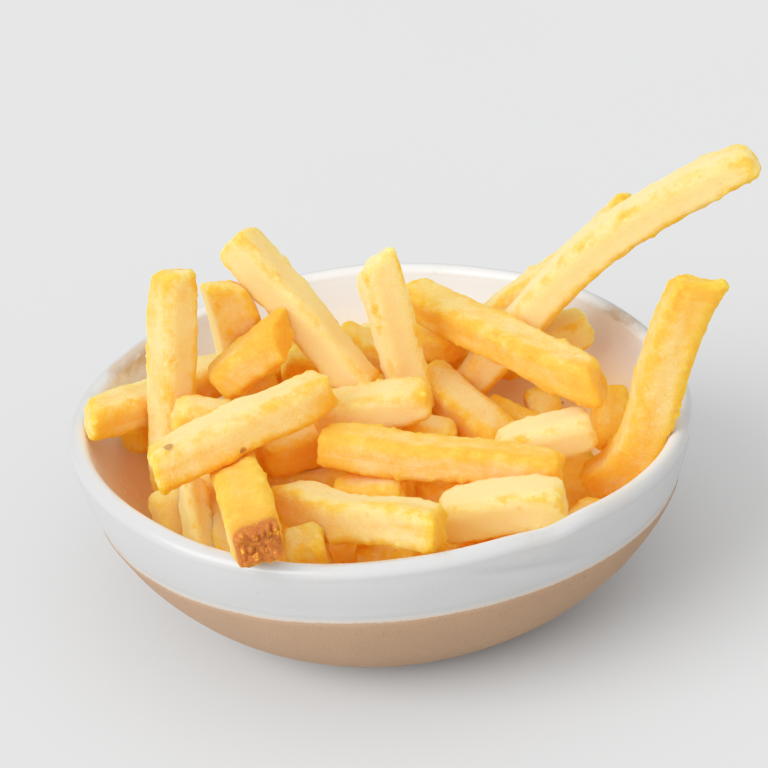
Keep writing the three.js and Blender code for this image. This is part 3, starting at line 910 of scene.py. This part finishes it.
def soft_light(name, from_where, strength, spread):
    """A soft even light from far off, wide as spread, from a direction."""
    light = bpy.data.lights.new(name, "SUN")
    light.energy, light.angle = strength, spread
    lamp = bpy.data.objects.new(name, light)
    lamp.matrix_world = Vector(from_where).to_track_quat("Z", "Y").to_matrix().to_4x4()
    bpy.context.scene.collection.objects.link(lamp)


def camera_on_heap(looks):
    """A long lens on the heap, from the front, turned about its own line."""
    camera = bpy.data.cameras.new("camera")
    camera.lens, camera.clip_start = LENS, CLIP_START
    eye = bpy.data.objects.new("camera", camera)
    eye.matrix_world = (
        Matrix.Translation(CAMERA_TARGET)
        @ Matrix.Rotation(math.pi / 2 - looks.camera_rise, 4, "X")
        @ Matrix.Rotation(looks.camera_roll, 4, "Z")
        @ Matrix.Translation((0, 0, looks.camera_distance))
    )
    return eye


def roll_off(view):
    """A camera's response: 1 - exp(-light), scaled to reach white at FULL. The film-like tone keeps
    the hues of bright colours."""
    view.view_transform = "Standard"
    view.use_curve_mapping = True
    view.curve_mapping.white_level = (FULL, FULL, FULL)
    view.curve_mapping.tone = "FILMLIKE"
    combined = view.curve_mapping.curves[3]
    for share in np.linspace(0, 1, CURVE_POINTS)[1:-1]:
        combined.points.new(share, (1 - math.exp(-FULL * share)) / (1 - math.exp(-FULL)))
    view.curve_mapping.update()


# ---- settings ----
def a_number(name, description, default, **more):
    return FloatProperty(name=name, description=description, default=default, **more)


def a_length(name, description, default):
    return a_number(name, description, default, min=0.0, unit="LENGTH", subtype="DISTANCE")


def an_angle(name, description, degrees):
    return a_number(name, description, math.radians(degrees), subtype="ANGLE")


def a_colour(name, description, default):
    kind = {"size": 3, "min": 0.0, "max": 1.0, "subtype": "COLOR"}
    return FloatVectorProperty(name=name, description=description, default=default, **kind)


class BowlSettings(bpy.types.PropertyGroup):
    """Sizes and finishes of the stoneware bowl."""

    foot_radius: a_length("Foot radius", "Radius of the flat foot", 0.027)
    rim_radius: a_length("Rim radius", "Outer radius at the rim", 0.0675)
    height: a_length("Height", "Mean height of the rim", 0.0456)
    wall: a_length("Wall", "Wall thickness at the rim", 0.0042)
    glaze_thickness: a_length("Glaze thickness", "How far the glaze stands off the clay", 0.0004)
    glaze: a_colour("Glaze", "The white glaze", (0.382, 0.383, 0.379))
    # Painted light: the same white glaze, painted lighter inside than outside.
    inner_glaze_painted_light: a_colour("Inner glaze", "The glaze inside, near the rim", (0.66, 0.65, 0.60))
    # Painted bounce light: the glaze low down inside, painted orange as if lit by the fries.
    deep_glaze_painted_bounce: a_colour("Deep glaze", "The glaze low down inside", (0.90, 0.70, 0.27))
    thin_glaze: a_colour("Thin glaze", "Glaze where the clay shows through", (0.40, 0.29, 0.175))
    clay: a_colour("Clay", "The bare clay", (0.323, 0.191, 0.099))
    pinhole: a_colour("Pinhole", "Small pits in the glaze", (0.22, 0.17, 0.13))


class FrySettings(bpy.types.PropertyGroup):
    """Finishes of the fries, and how many lie under the showing ones."""

    pale: a_colour("Pale", "The flat faces", (0.98, 0.675, 0.165))
    golden: a_colour("Golden", "Edges and ends", (0.97, 0.53, 0.03))
    amber: a_colour("Amber", "The darkest of the edges", (0.90, 0.40, 0.012))
    browned: a_colour("Browned", "The browned end", (0.33, 0.095, 0.010))
    spot: a_colour("Spot", "Eyes and dark spots", (0.25, 0.11, 0.03))
    blister: a_length("Blister", "Height of the blisters along the edges", 0.00055)
    under_count: IntProperty(name="Hidden fries", description="Most hidden fries", default=70, min=0)
    under_seed: IntProperty(name="Hidden seed", description="Seed of how the hidden fries lie", default=4)


class StageSettings(bpy.types.PropertyGroup):
    """The floor, light and camera."""

    floor: a_colour("Floor", "The pale floor", (0.475, 0.475, 0.475))
    floor_size: a_length("Floor size", "Side of the floor", 6.0)
    key_strength: a_number("Key light", "Strength of the soft key light", 4.85, min=0.0)
    top_strength: a_number("Top light", "Strength of the wide top light", 3.1, min=0.0)
    top_spread: an_angle("Top spread", "How wide the top light looks", 110)
    key_spread: an_angle("Key spread", "How wide the key light looks", 44)
    fill_colour: a_colour("Fill colour", "The even fill", (0.97, 0.985, 1.0))
    fill_strength: a_number("Fill light", "Strength of the even fill", 0.80, min=0.0)
    camera_rise: an_angle("Camera rise", "Camera's angle above the table", 29)
    camera_roll: an_angle("Camera roll", "Camera's turn about its own line", -4.15)
    camera_distance: a_length("Camera distance", "From the camera to the heap", 0.474)


# ---- operators ----
class PORTION_OT_bowl(bpy.types.Operator):
    """Throws the stoneware bowl"""

    bl_idname = "portion.bowl"
    bl_label = "Bowl"

    def execute(self, context):
        sizes = context.scene.portion_bowl
        make_piece("stoneware_bowl", [bowl_grid(sizes)], stoneware_material(sizes), "bowl")
        return {"FINISHED"}


class PORTION_OT_fries(bpy.types.Operator):
    """Lays the showing fries, in five groups"""

    bl_idname = "portion.fries"
    bl_label = "Showing fries"

    def execute(self, context):
        looks, bowl = context.scene.portion_fries, context.scene.portion_bowl
        material = fried_potato_material(looks)
        for number, (where, rows) in enumerate(GROUPS.items(), 1):
            grids = fry_grids(rows, SEEDS_APART * number, SHOWING, looks, bowl)
            make_piece(f"fries_{where}", grids, material, "fries")
        return {"FINISHED"}


class PORTION_OT_under_fries(bpy.types.Operator):
    """Fills the heap with loose fries under the showing ones"""

    bl_idname = "portion.under_fries"
    bl_label = "Hidden fries"

    def execute(self, context):
        looks, bowl = context.scene.portion_fries, context.scene.portion_bowl
        material = fried_potato_material(looks, "fried_potato_under", UNDER_DEEPER)
        grids = fry_grids(under_rows(looks, bowl), UNDER_FIRST, HIDDEN, looks, bowl)
        make_piece("fries_under", grids, material, "fries")
        make_piece("heap_core", [core_grid(bowl)], material, "fries")
        return {"FINISHED"}


class PORTION_OT_stage(bpy.types.Operator):
    """Sets the floor, the soft light and the camera"""

    bl_idname = "portion.stage"
    bl_label = "Stage"

    def execute(self, context):
        scene = context.scene
        looks = scene.portion_stage
        half = looks.floor_size / 2
        mesh = bpy.data.meshes.new("floor")
        corners = [(-half, -half, 0), (half, -half, 0), (half, half, 0), (-half, half, 0)]
        mesh.from_pydata(corners, [], [(0, 1, 2, 3)])
        mesh.materials.append(floor_material(looks))
        floor = bpy.data.objects.new("floor", mesh)
        scene.collection.objects.link(floor)

        soft_light("key", KEY_FROM, looks.key_strength, looks.key_spread)
        soft_light("top_light", TOP_FROM, looks.top_strength, looks.top_spread)
        world = bpy.data.worlds.new("studio")
        world.use_nodes = True
        background = world.node_tree.nodes["Background"]
        background.inputs["Color"].default_value = opaque(looks.fill_colour)
        background.inputs["Strength"].default_value = looks.fill_strength
        scene.world = world

        scene.camera = camera_on_heap(looks)
        scene.collection.objects.link(scene.camera)
        roll_off(scene.view_settings)
        scene.cycles.diffuse_bounces = DIFFUSE_BOUNCES
        scene.cycles.max_bounces = MAX_BOUNCES
        return {"FINISHED"}


class PORTION_PT_sidebar(bpy.types.Panel):
    """What makes the portion, in order"""

    bl_label = "French fries portion"
    bl_idname = "PORTION_PT_sidebar"
    bl_space_type = "VIEW_3D"
    bl_region_type = "UI"
    bl_category = "Fries"

    def draw(self, context):
        layout = self.layout
        for label, pointer, _, operators in STEPS:
            box = layout.box()
            box.label(text=label)
            settings = getattr(context.scene, pointer)
            for key in settings.bl_rna.properties.keys():
                if key not in ("rna_type", "name"):
                    box.prop(settings, key)
            for operator in operators:
                box.operator(operator)


STEPS = (
    ("Bowl", "portion_bowl", BowlSettings, ("portion.bowl",)),
    ("Fries", "portion_fries", FrySettings, ("portion.fries", "portion.under_fries")),
    ("Stage", "portion_stage", StageSettings, ("portion.stage",)),
)
OPERATORS = (PORTION_OT_bowl, PORTION_OT_fries, PORTION_OT_under_fries, PORTION_OT_stage)
CLASSES = (BowlSettings, FrySettings, StageSettings, *OPERATORS, PORTION_PT_sidebar)


def register():
    for cls in CLASSES:
        bpy.utils.register_class(cls)
    for _, pointer, settings, _ in STEPS:
        setattr(bpy.types.Scene, pointer, PointerProperty(type=settings))


def unregister():
    for _, pointer, _, _ in STEPS:
        delattr(bpy.types.Scene, pointer)
    for cls in reversed(CLASSES):
        bpy.utils.unregister_class(cls)


def main():
    register()
    for *_, operators in STEPS:
        for operator in operators:
            kind, name = operator.split(".")
            getattr(getattr(bpy.ops, kind), name)()


if __name__ == "__main__":
    main()
